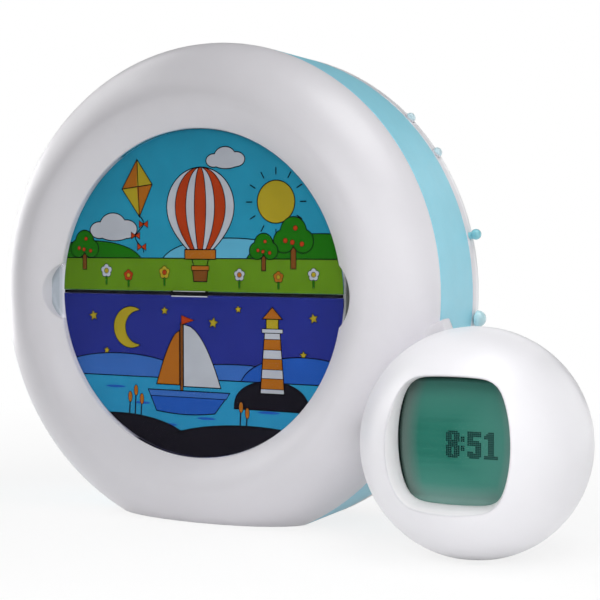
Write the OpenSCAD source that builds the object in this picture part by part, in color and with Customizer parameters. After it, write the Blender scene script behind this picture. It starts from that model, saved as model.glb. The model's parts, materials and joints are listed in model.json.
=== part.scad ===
// Children's alarm clock with a two-picture night light and a ball-shaped clock display.
// Millimetres. The clock stands on z = 0 and its front faces -Y.
// The drum's axis runs along Y at x = 0. At y = 0 the white bezel meets the coloured band.

/* [Drum] */
// Diameter of the drum where the bezel meets the band
body_d = 183.6; // [180:0.2:188]
// Height of the drum's axis above the flat foot
axis_h = 83; // [80:0.5:86]
// Wall thickness of the drum's shells
wall = 2.4; // [2:0.1:2.8]
// Depth of the coloured band, from the bezel to the rear cover
band_depth = 30.7; // [29:0.1:34]
// Amount by which the band's radius shrinks towards the back
band_draft = 0.6; // [0.2:0.1:1]
// Chamfer along both edges of each seam between the shells
seam_chamfer = 0.4; // [0.2:0.1:0.6]

/* [Front bezel] */
// Depth of the bezel, from the seam to its crest
bezel_depth = 19.5; // [18.5:0.1:21]
// Diameter of the circle along the bezel's crest
crest_d = 144; // [142:0.5:148]
// Fullness of the bezel's outer shoulder, where 1 is an ellipse and more is leaner
shoulder_power = 1.18; // [1:0.02:1.3]
// Diameter of the picture opening
opening_d = 120; // [116:0.5:122]
// Distance of the picture opening's edge in front of the seam
opening_out = 12.7; // [12.2:0.1:13.4]
// Radius of the round scallops beside the opening that take the lens's ears
scallop_r = 12.4; // [11:0.1:13]
// Distance that the scallops reach past the opening
scallop_reach = 5.2; // [4.4:0.1:5.6]

/* [Rear cover] */
// Depth of the cover's straight white rim
rim_depth = 4.6; // [4.4:0.1:6]
// Depth of the cover's rounded edge behind the rim
cover_round_depth = 8; // [7:0.5:10]
// Width of the cover's rounded edge, measured inwards
cover_round_w = 14; // [12:0.5:16]
// Diameter of the case screws' shanks
case_screw_d = 3; // [2.5:0.1:3.5]
// Diameter of the circle on which the case screws stand
screw_ring_d = 152; // [150:0.5:154]
// Width of one slot of the sound grille
grille_slot = 2; // [1.6:0.1:2.4]
// Distance from one grille slot to the next
grille_pitch = 4.2; // [3.8:0.1:5]
// Diameter of the area covered by the grille
grille_d = 32; // [28:1:34]

/* [Picture and light] */
// Thickness of the clear lens
lens_t = 2; // [1.6:0.1:2.1]
// Width of the lens's finger tab
tab_w = 16; // [12:0.5:20]
// Distance that the finger tab stands out of the lens
tab_out = 3.5; // [2.5:0.1:5]
// Thickness of the lens's finger tab
tab_t = 2.2; // [1.6:0.1:2.6]
// Thickness of the two printed picture sheets
film_t = 0.3; // [0.2:0.05:0.4]
// Thickness of the dark strip between the two pictures
strip_t = 1.2; // [0.8:0.1:1.6]
// Outer diameter of the light box
light_box_d = 112; // [108:0.5:112]
// Depth of the light box behind its flange
light_box_depth = 22; // [20:0.5:23]
// Wall thickness of the light box
light_box_wall = 1.6; // [1.2:0.1:2]
// Diameter of the lamps
led_d = 5; // [3:0.5:5]
// Distance from one lamp to the next
led_pitch = 22; // [18:1:24]

/* [Ball display] */
// Diameter of the ball
ball_d = 76; // [74:0.5:78]
// Depth by which the ball's underside is cut flat
ball_flat = 1.6; // [1.2:0.1:2.4]
// Wall thickness of the ball's shells
ball_wall = 2.2; // [1.8:0.1:2.4]
// Distance of the ball's centre in front of the bezel's seam
ball_forward = 16.7; // [15:0.1:18]
// Depth by which the ball nests into the drum's outline
ball_nest = 9.2; // [8:0.1:10]
// Gap between the ball and its cradle
ball_gap = 0.6; // [0.4:0.1:0.8]
// Angle by which the ball faces away from the drum at rest
ball_turn = 5; // [0:1:8]
// Wall thickness of the cradle around the ball
cradle_wall = 4.2; // [3.6:0.1:4.6]
// Angle between the cradle's two ends
cradle_sweep = 89; // [80:1:92]
// Distance of the seam between the ball's shells behind the ball's centre
ball_seam = 9.5; // [8.5:0.1:11]
// Width of the display's window
window_w = 37.7; // [36:0.1:38.5]
// Height of the display's window
window_h = 40.3; // [38:0.1:41]
// Height of the window's middle above the ball's centre
window_up = 3.4; // [2.6:0.1:3.6]
// Squareness of the window's corners, where 2 is an ellipse
window_power = 7.6; // [5:0.2:9]
// Share of its width that the window loses from the middle to the corners
window_bulge = 0.21; // [0.12:0.01:0.26]
// Share of its height that the window loses from the middle to the corners
window_arch = 0.04; // [0.02:0.01:0.08]
// Distance of the display's face in front of the ball's centre
display_out = 23; // [22.4:0.1:23.2]
// Extra half width of the window's flare, measured level with the front of the ball
window_flare = 4; // [2.5:0.1:4.5]

/* [Swivel] */
// Diameter of the hollow arm that carries the ball
arm_d = 8; // [7:0.5:8.5]
// Diameter of the cable's bore through the arm
arm_bore_d = 4.4; // [4:0.1:5]
// Angle by which the arm leans back from the drum's front
arm_lean = 15; // [12:1:18]
// Diameter of the upright pivot post in the ball
post_d = 6; // [5:0.5:7]
// Height of the arm's hub around the post
hub_h = 14; // [12:0.5:16]
// Angle by which the display turns away from the drum
turn_out = 90; // [60:5:90]
// Angle by which the display turns towards the drum
turn_in = 20; // [10:1:20]

/* [Buttons] */
// Diameter of the two upper buttons, which are plain domes
dome_d = 3.8; // [3.4:0.1:3.9]
// Diameter of the middle button's ball-shaped head
button_head_d = 3.9; // [3.6:0.1:4.2]
// Diameter of the lowest button's larger head
big_head_d = 6; // [5.4:0.1:6.4]
// Diameter of the stems under the two heads
button_stem_d = 2.6; // [2.2:0.1:2.8]
// Distance that a button can be pressed
button_travel = 0.7; // [0.5:0.1:0.9]

/* [Batteries] */
// Diameter of a battery cell
cell_d = 14.2; // [14:0.1:14.4]
// Length of a battery cell without its nub
cell_l = 49.5; // [48:0.5:50]
// Number of battery cells, side by side
cell_count = 4; // [2, 3, 4]

/* [Hidden] */

$fn = 96;
seat_gap = 0.2;
part_gap = 0.3;
far = 400;
curve_steps = 20;

body_r = body_d / 2;
crest_r = crest_d / 2;
opening_r = opening_d / 2;
rear_r = body_r - band_draft;
cover_back = band_depth + rim_depth + cover_round_depth;
cover_inside = cover_back - wall;

// The ledge behind the opening carries the picture sheets; the lens lies on the sheets.
ledge_w = 3;
ledge_t = 2;
ledge_out = opening_out - 2.7;
film_gap = 0.1;
film_out = ledge_out + film_t + 0.05;
lens_in = film_out + 0.1;
lens_clearance = 0.25;
lens_r = opening_r - lens_clearance;
scallop_x = opening_r + scallop_reach - scallop_r;
pocket_wall = 1.6;
ear_trim = 0.9;
ear_reach = opening_r + scallop_reach - lens_clearance - ear_trim;

// Case screws stand on a circle, clear of the buttons, the ball and the battery bay.
screw_angles = [72, 144, 216, 306];
case_post_r = 4;
case_post_bore = case_screw_d / 2 + 0.05;
case_post_end = band_depth - 4;
case_post_bore_depth = 13;
case_boss_r = 5.2;
case_boss_bore = case_screw_d / 2 + 0.3;
case_head_r = 3.2;
case_head_t = 2.2;
counterbore_r = case_head_r + 0.4;
counterbore_depth = 8;
case_screw_l = cover_back - counterbore_depth - case_post_end + case_post_bore_depth - 3;

// The light box hangs on four lugs below the bezel's inner slope.
lug_angles = [60, 120, 240, 300];
lug_ring_r = opening_r + 7.5;
lug_r = 3.4;
lug_bore = 1.25;
flange_out = ledge_out - ledge_t - seat_gap;
light_box_r = light_box_d / 2;
light_box_back = flange_out - light_box_depth;
small_screw_r = 1.2;
small_screw_l = 6;
small_head_r = 2.1;
small_head_t = 1.5;
board_t = 1.6;
led_board_w = 72;
led_board_h = 14;
led_board_z = 27;
led_board_gap = 2;
led_r = led_d / 2;
led_flange_r = led_r + 0.4;
led_flange_t = 1;
led_body = 5.4;
peg_r = 1.4;
peg_x = led_board_w / 2 - 4;

// Buttons press inwards through the cover's rim and meet side-acting switches on a curved board.
// The lists run from the top button to the lowest; a head's rise is its centre's, above the rim.
button_y = band_depth + rim_depth / 2 + 0.2;
button_angles = [44.6, 34.1, 13.3, -5.5];
button_stems = [dome_d / 2, dome_d / 2, button_stem_d / 2, button_stem_d / 2];
button_heads = [dome_d / 2, dome_d / 2, button_head_d / 2, big_head_d / 2];
button_rises = [0.4, 0.4, 2.5, 1.3];
head_underside = seat_gap + button_travel;
head_steps = 12;
button_hole_clearance = 0.1;
button_flange_lap = 0.6;
button_flange_t = 1.2;
button_flange_out = rear_r - wall - 0.5;
switch_gap = button_travel + 0.2;
switch_nub_r = 1;
switch_nub_l = 1.2;
switch_w = 6;
switch_l = 4;
switch_h = 6;
key_board_front = button_y + switch_h / 2;
key_board_gap = 4.8;
key_board_w = 12;
key_board_out = rear_r - wall - key_board_gap;
key_board_in = key_board_out - key_board_w;
key_board_start = -14;
key_board_sweep = 70;
key_stand_r = 2;
key_stand_angles = [-10, 24, 52];

// Main circuit board, on four stand-offs of the rear cover.
main_board_w = 54;
main_board_h = 38;
main_board_x = 22;
main_board_z = 30;
stand_r = 3;
stand_h = 8;
stand_inset = 4;
main_board_back = cover_inside - stand_h;
// On the main board: a chip, two capacitors, a crystal and two plug sockets.
chip_w = 14;
chip_h = 12;
chip_t = 2;
capacitor_r = 3.2;
capacitor_l = 7;
capacitor_pitch = 8;
crystal_w = 9;
crystal_h = 4;
crystal_t = 2.4;
socket_t = 5;
lamp_socket_w = 12;
lamp_socket_h = 6;
key_socket_w = 10;
key_socket_h = 5;

// Loudspeaker behind the grille.
speaker_r = 20;
speaker_x = -44;
speaker_z = 22;
speaker_rim_t = 1.6;
speaker_depth = 9;
speaker_cup_wall = 1.6;
speaker_cup_h = 5;
magnet_r = 10;
magnet_t = 5;

// Battery bay: the cells stand side by side under a screwed door.
bay_clearance = 0.3;
bay_wall = 1.6;
cell_pitch = cell_d + 0.5;
contact_room = 3.4;
bay_w = cell_count * cell_pitch + 2 * bay_clearance;
bay_h = cell_l + 2 * contact_room;
bay_z = -30;
door_t = 2;
door_lap = 2;
door_clearance = 0.25;
bay_depth = cell_d + 1;
bay_floor = cover_back - door_t - bay_depth;
door_w = bay_w + 2 * door_lap;
door_h = bay_h + 2 * door_lap;
door_round = 4;
door_boss_r = 4;
door_screw_z = bay_z + bay_h / 2 + 4.6;
door_tongue_w = 14;
door_screw_r = 1.3;
nub_r = 2.7;
nub_l = 1;
contact_t = 0.4;
contact_w = 9;
spring_wire_r = 0.35;
spring_r = 3.8;
spring_taper = 0.7;

// Power inlet at the back.
jack_x = -48;
jack_z = -32;
jack_r = 5.4;
jack_flange_r = 6.8;
jack_flange_t = 1.2;
jack_depth = 14;
jack_hole_r = 2.85;
jack_hole_depth = 9;
jack_pin_r = 1;
jack_nut_r = 8;
jack_nut_t = 2;

// Lips of the band reach into the bezel and the cover; the rear one leaves the buttons free.
lip_depth = 3;
lip_t = 1.4;
lip_slack = 0.9;
lip_root = 0.5;
rear_lip_start = 62;
rear_lip_sweep = 278;

// Rubber pads lie flush in the foot.
pad_r = 5;
pad_t = 1.2;
pad_x = 24;
pad_inset = 7;

// The ball's centre follows from the drum and from how deep the ball nests in it.
ball_r = ball_d / 2;
ball_inner_r = ball_r - ball_wall;
ball_z = ball_r - ball_flat;
ball_y = -ball_forward;
ball_reach = body_r + ball_r - ball_nest;
ball_drop = axis_h - ball_z;
ball_x = sqrt(ball_reach * ball_reach - ball_drop * ball_drop);
ball_bearing = atan2(ball_drop, -ball_x);
recess_r = ball_r + ball_gap;
cup_r = recess_r + wall;
cradle_out = 7.5;
cradle_round = 3.2;

// Arm, hub, post and the slot that the arm keeps free in the ball.
arm_r = arm_d / 2;
arm_clearance = 0.5;
arm_bearing = 180 - arm_lean;
arm_flange_r = 7;
arm_flange_t = 2.4;
arm_flange_at = cup_r + 5;
arm_screw_z = 5.3;
arm_screw_r = 0.9;
arm_screw_l = 4;
hub_r = post_d / 2 + 3.5;
post_r = post_d / 2;
post_clearance = 0.05;
post_top = ball_inner_r - 3;
post_bottom = ball_z - ball_wall - 1;
washer_t = 0.8;
boss_start = hub_h / 2 + washer_t + 2 * seat_gap;
boss_r = post_r + 2.5;
slot_margin = asin((arm_r + arm_clearance) / ball_inner_r) + 1;
slot_start = arm_bearing - ball_turn - turn_out - slot_margin;
slot_end = arm_bearing - ball_turn + turn_in + slot_margin;
slot_half = arm_r + arm_clearance;
cable_r = arm_bore_d / 2 - 0.3;
cable_tail = 12;
// The cable leaves the arm through a notch in its underside, this far outside the hub.
cable_notch_at = 1.5;

// Ball screws and display stack, from the window inwards.
ball_post_x = 19;
ball_post_z = 24;
ball_post_r = 3;
ball_post_start = 15.5;
ball_screw_r = 1.1;
ball_screw_l = 12;
ball_head_r = 2.2;
ball_head_t = 1.8;
ball_boss_r = 3.8;
ball_counterbore = ball_seam + 6;
tunnel_wall = 1.8;
flare_depth = ball_r + 1 - display_out;
flare_steps = 5;
flare_lap = 0.02;
window_t = 1.5;
window_lap = 1;
lcd_t = 1.8;
lcd_lap = 0.8;
backlight_t = 2.6;
backlight_w = window_w - 2;
backlight_h = window_h - 2;
window_face = display_out - seat_gap;
lcd_face = window_face - window_t - seat_gap;
backlight_face = lcd_face - lcd_t - seat_gap;
clock_board_face = backlight_face - backlight_t - seat_gap;
clock_board_w = 34;
clock_board_h = 34;
clock_chip_w = 9;
clock_chip_t = 1.4;
clock_socket_w = 8;
clock_socket_h = 4;
clock_socket_t = 1.6;

// Points of the bezel's outside, moved inwards by inset: shoulder first, then the inner slope.
function shoulder(inset) = [
    for (i = [0:curve_steps])
        let (t = 90 * i / curve_steps)
        [crest_r + (body_r - inset - crest_r) * pow(cos(t), shoulder_power),
         (bezel_depth - inset) * pow(sin(t), shoulder_power)]
];
function inner_slope(inset) = [
    for (i = [1:curve_steps])
        let (u = 1 - i / curve_steps)
        [opening_r + inset + (crest_r - opening_r - inset) * u,
         opening_out - inset + (bezel_depth - opening_out) * sin(90 * u)]
];
// Points of a quarter ellipse from [r, h] outwards by w and backwards by d.
function edge_round(r, h, w, d) = [
    for (i = [0:curve_steps])
        let (t = 90 * i / curve_steps)
        [r - w + w * cos(t), h - d * sin(t)]
];
// Rounded square with bulging sides, of half sizes a and b.
function bulged_square(a, b) = [
    for (i = [0:89])
        let (
            c = cos(4 * i),
            s = sin(4 * i),
            k = pow(pow(abs(c), window_power) + pow(abs(s), window_power), -1 / window_power)
        )
        [a * k * c * (1 - window_bulge * k * k * s * s), b * k * s * (1 - window_arch * k * k * c * c)]
];
// Half outline of a push button, from the flange inside the rim out to the round head.
function button_outline(stem_r, head_r, rise) =
    let (
        low = head_r > stem_r ? max(-acos(stem_r / head_r), asin((head_underside - rise) / head_r)) : 0,
        middle = rear_r + rise
    )
    concat(
        [[0, button_flange_out - button_flange_t],
         [stem_r + button_flange_lap, button_flange_out - button_flange_t],
         [stem_r + button_flange_lap, button_flange_out],
         [stem_r, button_flange_out]],
        head_r * cos(low) > stem_r + 0.01 ? [[stem_r, middle + head_r * sin(low)]] : [],
        [for (i = [0:head_steps])
            let (a = low + (90 - low) * i / head_steps)
            [head_r * cos(a), middle + head_r * sin(a)]]
    );

// Drum frame: local Z runs forwards (-Y) from the seam, local X is X, local Y is Z.
module on_axis() {
    translate([0, 0, axis_h]) rotate([90, 0, 0]) children();
}

// A place on the drum's face, given by angle and radius.
module at_ring(angle, r) {
    rotate([0, 0, angle]) translate([r, 0, 0]) children();
}

// Everything above height z.
module above(z) {
    translate([-far / 2, -far / 2, z]) cube([far, far, far]);
}

module at_ball() {
    translate([ball_x, ball_y, ball_z]) children();
}

// The ball's own frame, turned as the ball stands at rest.
module in_ball() {
    at_ball() rotate([0, 0, ball_turn]) children();
}

// Local X runs from the ball's centre outwards along the level direction of that bearing.
module along_bearing(bearing) {
    rotate([0, 0, bearing]) rotate([0, 90, 0]) children();
}

module rounded_plate(w, h, t, r) {
    linear_extrude(t) rounded_rect(w, h, r);
}

module rounded_rect(w, h, r) {
    union() {
        square([w - 2 * r, h], center = true);
        square([w, h - 2 * r], center = true);
        for (x = [-1, 1]) for (y = [-1, 1])
            translate([x * (w / 2 - r), y * (h / 2 - r)]) circle(r);
    }
}

// A pan-head screw: the head stands above z = 0 and the shank runs down.
module screw(shank_r, shank_l, head_r, head_t) {
    difference() {
        union() {
            cylinder(r1 = head_r, r2 = head_r * 0.8, h = head_t);
            translate([0, 0, -shank_l]) cylinder(r = shank_r, h = shank_l + 0.1);
        }
        for (a = [0, 90]) rotate([0, 0, a])
            translate([-head_r * 0.55, -head_r * 0.12, head_t * 0.5])
                cube([head_r * 1.1, head_r * 0.24, head_t]);
    }
}

// ---- Front bezel ----

module bezel_outside() {
    rotate_extrude() polygon(concat(
        [[opening_r - ledge_w, 0], [body_r - seam_chamfer, 0], [body_r, seam_chamfer]],
        [for (p = shoulder(0)) if (p[1] > seam_chamfer) p],
        inner_slope(0),
        [[opening_r, ledge_out], [opening_r - ledge_w, ledge_out]]
    ));
}

module bezel_cavity() {
    rotate_extrude() polygon(concat(
        [[opening_r - ledge_w - 1, -1], [body_r - wall, -1]],
        shoulder(wall),
        [for (p = inner_slope(wall)) if (p[1] > ledge_out - ledge_t) p],
        [[opening_r + wall, ledge_out - ledge_t], [opening_r - ledge_w - 1, ledge_out - ledge_t]]
    ));
}

// Ring segment that wraps the ball beside the drum.
module cradle_ring() {
    r_out = recess_r + cradle_wall;
    start = ball_bearing - cradle_sweep / 2;
    translate([ball_x, 0, ball_z]) rotate([90, 0, 0]) rotate([0, 0, start])
        rotate_extrude(angle = cradle_sweep) polygon(concat(
            [[r_out - 8, 0], [r_out - seam_chamfer, 0], [r_out, seam_chamfer]],
            [for (i = [0:8]) let (t = 90 * i / 8)
                [r_out - cradle_round * (1 - cos(t)), cradle_out - cradle_round * (1 - sin(t))]],
            [[r_out - 8, cradle_out]]
        ));
}

module lens_scallops(r, floor_out) {
    for (side = [-1, 1]) translate([side * scallop_x, 0, floor_out]) cylinder(r = r, h = bezel_depth);
}

module case_posts(from, to) {
    for (a = screw_angles) at_ring(a, screw_ring_d / 2) translate([0, 0, from])
        cylinder(r = case_post_r, h = to - from);
}

module front_bezel() {
    color("white") difference() {
        union() {
            intersection() {
                above(0);
                union() {
                    difference() {
                        on_axis() bezel_outside();
                        intersection() {
                            on_axis() bezel_cavity();
                            above(wall);
                        }
                    }
                    intersection() {
                        on_axis() bezel_outside();
                        at_ball() sphere(cup_r);
                    }
                    cradle_ring();
                }
            }
            intersection() {
                at_ball() along_bearing(arm_bearing)
                    cylinder(r = arm_flange_r, h = arm_flange_at - seat_gap);
                on_axis() bezel_outside();
            }
            on_axis() case_posts(-case_post_end, 1);
            on_axis() intersection() {
                bezel_outside();
                union() {
                    case_posts(0, bezel_depth);
                    lens_scallops(scallop_r + pocket_wall, ledge_out - ledge_t);
                    for (a = lug_angles) at_ring(a, lug_ring_r) translate([0, 0, flange_out + seat_gap])
                        cylinder(r = lug_r, h = bezel_depth);
                }
            }
        }
        at_ball() sphere(recess_r);
        at_ball() along_bearing(arm_bearing) {
            cylinder(r = arm_r + 0.1, h = far / 4);
            for (z = [-1, 1]) translate([z * arm_screw_z, 0, arm_flange_at - seat_gap - arm_screw_l])
                cylinder(r = arm_screw_r + 0.05, h = arm_screw_l + 1);
        }
        on_axis() {
            lens_scallops(scallop_r, ledge_out);
            for (a = screw_angles) at_ring(a, screw_ring_d / 2) translate([0, 0, -case_post_end - 1])
                cylinder(r = case_post_bore, h = case_post_bore_depth + 1);
            for (a = lug_angles) at_ring(a, lug_ring_r) translate([0, 0, flange_out - 1])
                cylinder(r = lug_bore, h = 7);
        }
    }
}

// ---- Coloured band ----

module band_outside() {
    rotate_extrude() polygon([
        [0, 0], [body_r - seam_chamfer, 0], [body_r, -seam_chamfer],
        [rear_r, seam_chamfer - band_depth], [rear_r - seam_chamfer, -band_depth], [0, -band_depth]
    ]);
}

// Locating lip that reaches from the band into the shell before or behind it.
module seam_lip(r, from, seam, to, start, sweep) {
    inner = r - wall - lip_slack - lip_t;
    rotate([0, 0, start]) rotate_extrude(angle = sweep) polygon([
        [inner, from], [r - wall + lip_root, from], [r - wall + lip_root, seam],
        [r - wall - lip_slack, seam], [r - wall - lip_slack, to], [inner, to]
    ]);
}

module mid_band() {
    color("lightblue") difference() {
        intersection() {
            above(0);
            union() {
                difference() {
                    on_axis() band_outside();
                    intersection() {
                        on_axis() translate([0, 0, -band_depth - 1])
                            cylinder(r1 = rear_r - wall, r2 = body_r - wall, h = band_depth + 2);
                        above(wall);
                    }
                }
                intersection() {
                    on_axis() band_outside();
                    at_ball() sphere(cup_r);
                }
                intersection() {
                    on_axis() {
                        seam_lip(body_r, -lip_depth, 0, lip_depth, 0, 360);
                        seam_lip(rear_r, lip_depth - band_depth, -band_depth, -band_depth - lip_depth,
                                 rear_lip_start, rear_lip_sweep);
                    }
                    above(wall + part_gap);
                }
            }
        }
        at_ball() sphere(recess_r);
        translate([ball_x, 0, ball_z]) rotate([90, 0, 0])
            cylinder(r = recess_r + cradle_wall + part_gap, h = lip_depth + 1);
        intersection() {
            at_ball() along_bearing(arm_bearing) cylinder(r = arm_flange_r + part_gap, h = arm_flange_at);
            on_axis() cylinder(r = body_r, h = lip_depth + 1);
        }
        for (x = [-1, 1]) for (y = [pad_inset, band_depth - pad_inset])
            translate([x * pad_x, y, -1]) cylinder(r = pad_r + 0.2, h = pad_t + 1);
    }
}

module foot_pads() {
    color("dimgray") for (x = [-1, 1]) for (y = [pad_inset, band_depth - pad_inset])
        translate([x * pad_x, y, 0]) cylinder(r = pad_r, h = pad_t);
}

// ---- Rear cover ----

module cover_solid(inset) {
    rotate_extrude() polygon(concat(
        [[0, -band_depth + (inset > 0 ? 1 : 0)],
         [rear_r - inset - (inset > 0 ? 0 : seam_chamfer), -band_depth + (inset > 0 ? 1 : 0)],
         [rear_r - inset, -band_depth - seam_chamfer]],
        edge_round(rear_r - inset, -band_depth - rim_depth, cover_round_w, cover_round_depth - inset),
        [[0, inset - cover_back]]
    ));
}

module grille_slots() {
    rows = floor(grille_d / 2 / grille_pitch);
    for (i = [-rows:rows]) {
        z = i * grille_pitch;
        half = sqrt(max(grille_d * grille_d / 4 - z * z, 1)) - grille_slot / 2;
        translate([speaker_x, speaker_z + z, -cover_back - 1]) {
            translate([-half, -grille_slot / 2, 0]) cube([2 * half, grille_slot, wall + 2]);
            for (side = [-1, 1]) translate([side * half, 0, 0])
                cylinder(r = grille_slot / 2, h = wall + 2, $fn = 24);
        }
    }
}

module stand_places() {
    for (x = [-1, 1]) for (z = [-1, 1])
        translate([main_board_x + x * (main_board_w / 2 - stand_inset),
                   main_board_z + z * (main_board_h / 2 - stand_inset), 0]) children();
}

module cover_additions() {
    for (a = screw_angles) at_ring(a, screw_ring_d / 2) translate([0, 0, -cover_inside - 1])
        cylinder(r = case_boss_r, h = cover_inside + 1 - case_post_end - seat_gap);
    stand_places() translate([0, 0, -cover_inside - 1]) cylinder(r = stand_r, h = stand_h + 1 - seat_gap);
    for (a = key_stand_angles) at_ring(a, (key_board_in + key_board_out) / 2 - 3)
        translate([0, 0, -cover_inside - 1])
            cylinder(r = key_stand_r, h = 1 + cover_inside - key_board_front - board_t - seat_gap);
    translate([speaker_x, speaker_z, -cover_inside - 1]) difference() {
        cylinder(r = speaker_r + seat_gap + speaker_cup_wall, h = speaker_cup_h + 1);
        translate([0, 0, -1]) cylinder(r = speaker_r + seat_gap, h = speaker_cup_h + 3);
    }
    translate([0, bay_z, -cover_back + 0.5])
        rounded_plate(bay_w + 2 * bay_wall, bay_h + 2 * bay_wall, bay_depth + door_t + bay_wall - 0.5, 2);
    translate([0, bay_z, -cover_back + 0.5])
        rounded_plate(door_w + 2 * bay_wall, door_h + 2 * bay_wall, door_t + bay_wall, door_round + 1);
    translate([0, door_screw_z, -cover_back + 0.5]) cylinder(r = door_boss_r + 1, h = 10);
}

module door_outline(clearance, depth) {
    translate([0, bay_z, -cover_back - 1])
        rounded_plate(door_w - 2 * clearance, door_h - 2 * clearance, depth + 1, door_round);
    translate([-door_tongue_w / 2 + clearance, bay_z, -cover_back - 1])
        cube([door_tongue_w - 2 * clearance, door_screw_z + 3.5 - clearance - bay_z, depth + 1]);
}

module rear_cover() {
    color("whitesmoke") difference() {
        union() {
            difference() {
                intersection() {
                    above(0);
                    on_axis() cover_solid(0);
                }
                intersection() {
                    on_axis() cover_solid(wall);
                    above(wall);
                }
            }
            on_axis() cover_additions();
        }
        on_axis() {
            for (a = screw_angles) at_ring(a, screw_ring_d / 2) translate([0, 0, -cover_back - 1]) {
                cylinder(r = case_boss_bore, h = far / 4);
                cylinder(r = counterbore_r, h = counterbore_depth + 1);
            }
            grille_slots();
            door_outline(0, door_t);
            translate([-bay_w / 2, bay_z - bay_h / 2, -cover_back - 1])
                cube([bay_w, bay_h, door_t + bay_depth + 1]);
            translate([0, door_screw_z, -cover_back]) cylinder(r = door_screw_r + 0.05, h = 8);
            translate([jack_x, jack_z, -cover_back - 1]) cylinder(r = jack_r + 0.1, h = wall + 2);
            for (i = [0:3]) rotate([0, 0, button_angles[i]]) translate([rear_r - 3 * wall, 0, -button_y])
                rotate([0, 90, 0]) cylinder(r = button_stems[i] + button_hole_clearance, h = 4 * wall);
            stand_places() translate([0, 0, -cover_inside + 1]) cylinder(r = 1.1, h = stand_h);
        }
    }
}

module cover_screws() {
    color("silver") on_axis() for (a = screw_angles) at_ring(a, screw_ring_d / 2)
        translate([0, 0, -cover_back + counterbore_depth]) mirror([0, 0, 1])
            screw(case_screw_d / 2, case_screw_l, case_head_r, case_head_t);
}

// ---- Lens and pictures ----

module picture_lens() {
    color("lightcyan", 0.4) on_axis() {
        translate([0, 0, lens_in]) {
            cylinder(r = lens_r, h = lens_t);
            intersection() {
                for (side = [-1, 1]) translate([side * scallop_x, 0, 0])
                    cylinder(r = scallop_r - lens_clearance, h = lens_t);
                translate([-ear_reach, -scallop_r, 0]) cube([2 * ear_reach, 2 * scallop_r, lens_t]);
            }
        }
        translate([-tab_w / 2, -tab_t / 2, lens_in + lens_t / 2])
            cube([tab_w, tab_t, tab_out + lens_t / 2 - tab_t / 2]);
        translate([-tab_w / 2, 0, lens_in + lens_t + tab_out - tab_t / 2])
            rotate([0, 90, 0]) cylinder(r = tab_t / 2, h = tab_w);
    }
}

// One half of the round picture: side is 1 for the upper and -1 for the lower.
module half_picture(side) {
    on_axis() intersection() {
        translate([0, 0, film_out - film_t]) cylinder(r = lens_r, h = film_t);
        translate([-far / 2, side > 0 ? strip_t / 2 + film_gap : -far - strip_t / 2 - film_gap, 0])
            cube([far, far, far]);
    }
}

module day_picture() {
    color("yellowgreen") half_picture(1);
}

module night_picture() {
    color("midnightblue") half_picture(-1);
}

module divider_strip() {
    strip_in = ledge_out - 1.1;
    color("black") on_axis() {
        translate([-opening_r + ledge_w + 0.4, -strip_t / 2, strip_in])
            cube([2 * (opening_r - ledge_w - 0.4), strip_t, film_out - strip_in]);
        translate([-lens_r + 0.3, -strip_t / 2, ledge_out + 0.05])
            cube([2 * (lens_r - 0.3), strip_t, film_out - ledge_out - 0.05]);
    }
}

// ---- Light box ----

module light_box() {
    divider_top = ledge_out - 1.1 - seat_gap;
    inner_r = light_box_r - light_box_wall;
    color("white") on_axis() difference() {
        union() {
            difference() {
                union() {
                    translate([0, 0, light_box_back]) cylinder(r = light_box_r, h = light_box_depth);
                    translate([0, 0, flange_out - light_box_wall])
                        cylinder(r = opening_r + 1.5, h = light_box_wall);
                    for (a = lug_angles) hull() {
                        at_ring(a, lug_ring_r) translate([0, 0, flange_out - light_box_wall])
                            cylinder(r = lug_r + 0.4, h = light_box_wall, $fn = 32);
                        at_ring(a, light_box_r) translate([0, 0, flange_out - light_box_wall])
                            cylinder(r = lug_r + 1.4, h = light_box_wall, $fn = 32);
                    }
                }
                translate([0, 0, light_box_back + light_box_wall])
                    cylinder(r = inner_r, h = light_box_depth);
            }
            translate([-inner_r - 0.5, -light_box_wall / 2, light_box_back])
                cube([2 * inner_r + 1, light_box_wall, divider_top - light_box_back]);
            for (side = [-1, 1]) for (x = [-1, 1])
                translate([x * peg_x, side * led_board_z, light_box_back - led_board_gap - board_t - 1])
                    cylinder(r = peg_r, h = led_board_gap + board_t + 2);
            for (side = [-1, 1]) for (x = [-1, 1])
                translate([x * peg_x, side * led_board_z, light_box_back - led_board_gap])
                    cylinder(r = peg_r + 1.2, h = led_board_gap + 1);
        }
        for (side = [-1, 1]) for (i = [-1:1])
            translate([i * led_pitch, side * led_board_z, light_box_back - 1])
                cylinder(r = led_r + 0.3, h = light_box_wall + 2);
        for (a = lug_angles) at_ring(a, lug_ring_r) translate([0, 0, flange_out - light_box_wall - 1])
            cylinder(r = small_screw_r + 0.2, h = light_box_wall + 2);
    }
}

module light_box_screws() {
    color("silver") on_axis() for (a = lug_angles) at_ring(a, lug_ring_r)
        translate([0, 0, flange_out - light_box_wall]) mirror([0, 0, 1])
            screw(small_screw_r, small_screw_l, small_head_r, small_head_t);
}

module led_board(side) {
    on_axis() translate([0, side * led_board_z, light_box_back - led_board_gap - board_t]) difference() {
        rounded_plate(led_board_w, led_board_h, board_t - 0.05, 1.5);
        for (x = [-1, 1]) translate([x * peg_x, 0, -1]) cylinder(r = peg_r + 0.1, h = board_t + 2);
    }
}

module led_row(side) {
    on_axis() for (i = [-1:1])
        translate([i * led_pitch, side * led_board_z, light_box_back - led_board_gap]) {
        cylinder(r = led_flange_r, h = led_flange_t);
        cylinder(r = led_r, h = led_body);
        translate([0, 0, led_body]) sphere(led_r);
    }
}

module led_board_day() {
    color("darkgreen") led_board(1);
}

module led_board_night() {
    color("darkgreen") led_board(-1);
}

module day_leds() {
    color("lightyellow") led_row(1);
}

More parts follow.
